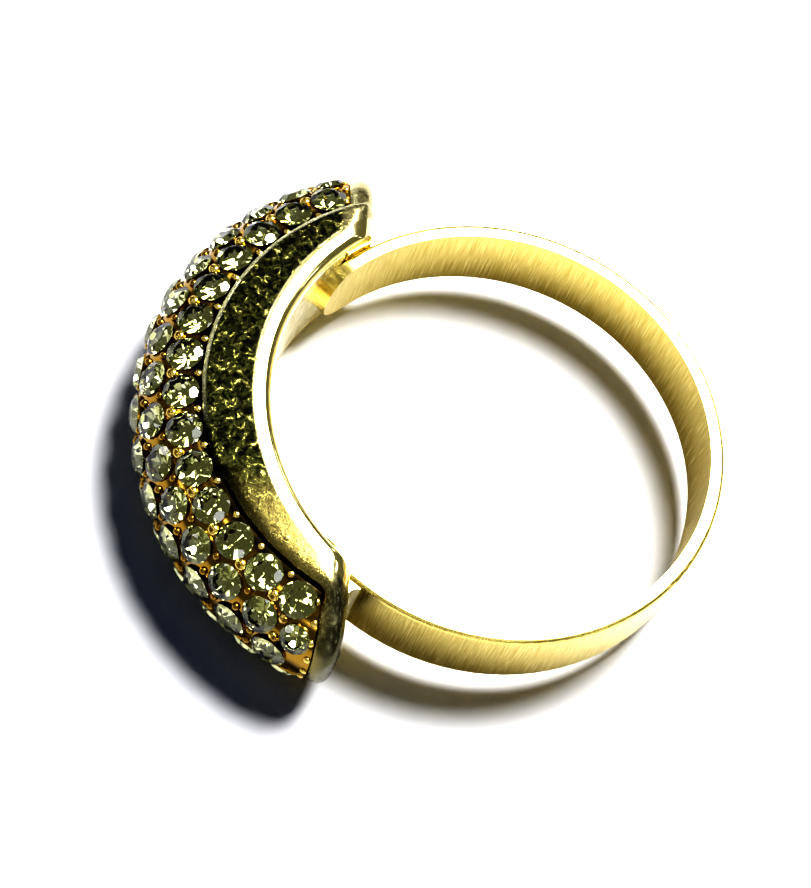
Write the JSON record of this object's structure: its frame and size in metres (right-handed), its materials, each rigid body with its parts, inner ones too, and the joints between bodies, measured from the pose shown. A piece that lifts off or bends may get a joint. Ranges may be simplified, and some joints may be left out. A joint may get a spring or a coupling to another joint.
{
  "type": "cocktail ring",
  "caption": "Finger ring with a crescent head domed in round clear stones over a hollow gold-plated frame, closed by a thin plain band.",
  "frame": {"origin": "on the axis of the finger hole, at the middle of the band's width", "axes": "+Z along the finger hole, the head's crest towards -X, the back of the band towards +X"},
  "size_m": [0.0235, 0.0216, 0.0056],
  "materials": {
    "band_gold": "brushed inside, polished outside, thin gold plating",
    "frame_gold": "polished rims, scratched and mottled side walls, gold plating",
    "liner_gold": "satin gold plating",
    "pave_gold": "bright cut seats and grains, gold plating",
    "solder": "smooth, plated over",
    "crystal": "faceted clear round stone"
  },
  "bodies": {
    "root": {"band": "band_gold", "head_frame": "frame_gold", "back_liner": "liner_gold", "pave_plate": "pave_gold", "solder_upper": "solder", "solder_lower": "solder", "stone_column_01": "crystal", "stone_column_02": "crystal", "stone_column_03": "crystal", "stone_column_04": "crystal", "stone_column_05": "crystal", "stone_column_06": "crystal", "stone_column_07": "crystal", "stone_column_08": "crystal", "stone_column_09": "crystal", "stone_column_10": "crystal", "stone_column_11": "crystal", "stone_column_12": "crystal", "stone_column_13": "crystal", "stone_column_14": "crystal", "stone_column_15": "crystal", "stone_column_16": "crystal", "stone_column_17": "crystal", "stone_column_18": "crystal", "stone_column_19": "crystal", "stone_column_20": "crystal", "stone_column_21": "crystal", "stone_column_22": "crystal", "stone_column_23": "crystal", "stone_column_24": "crystal", "stone_column_25": "crystal", "stone_column_26": "crystal", "stone_column_27": "crystal", "stone_column_28": "crystal", "stone_column_29": "crystal"}
  },
  "joints": []
}
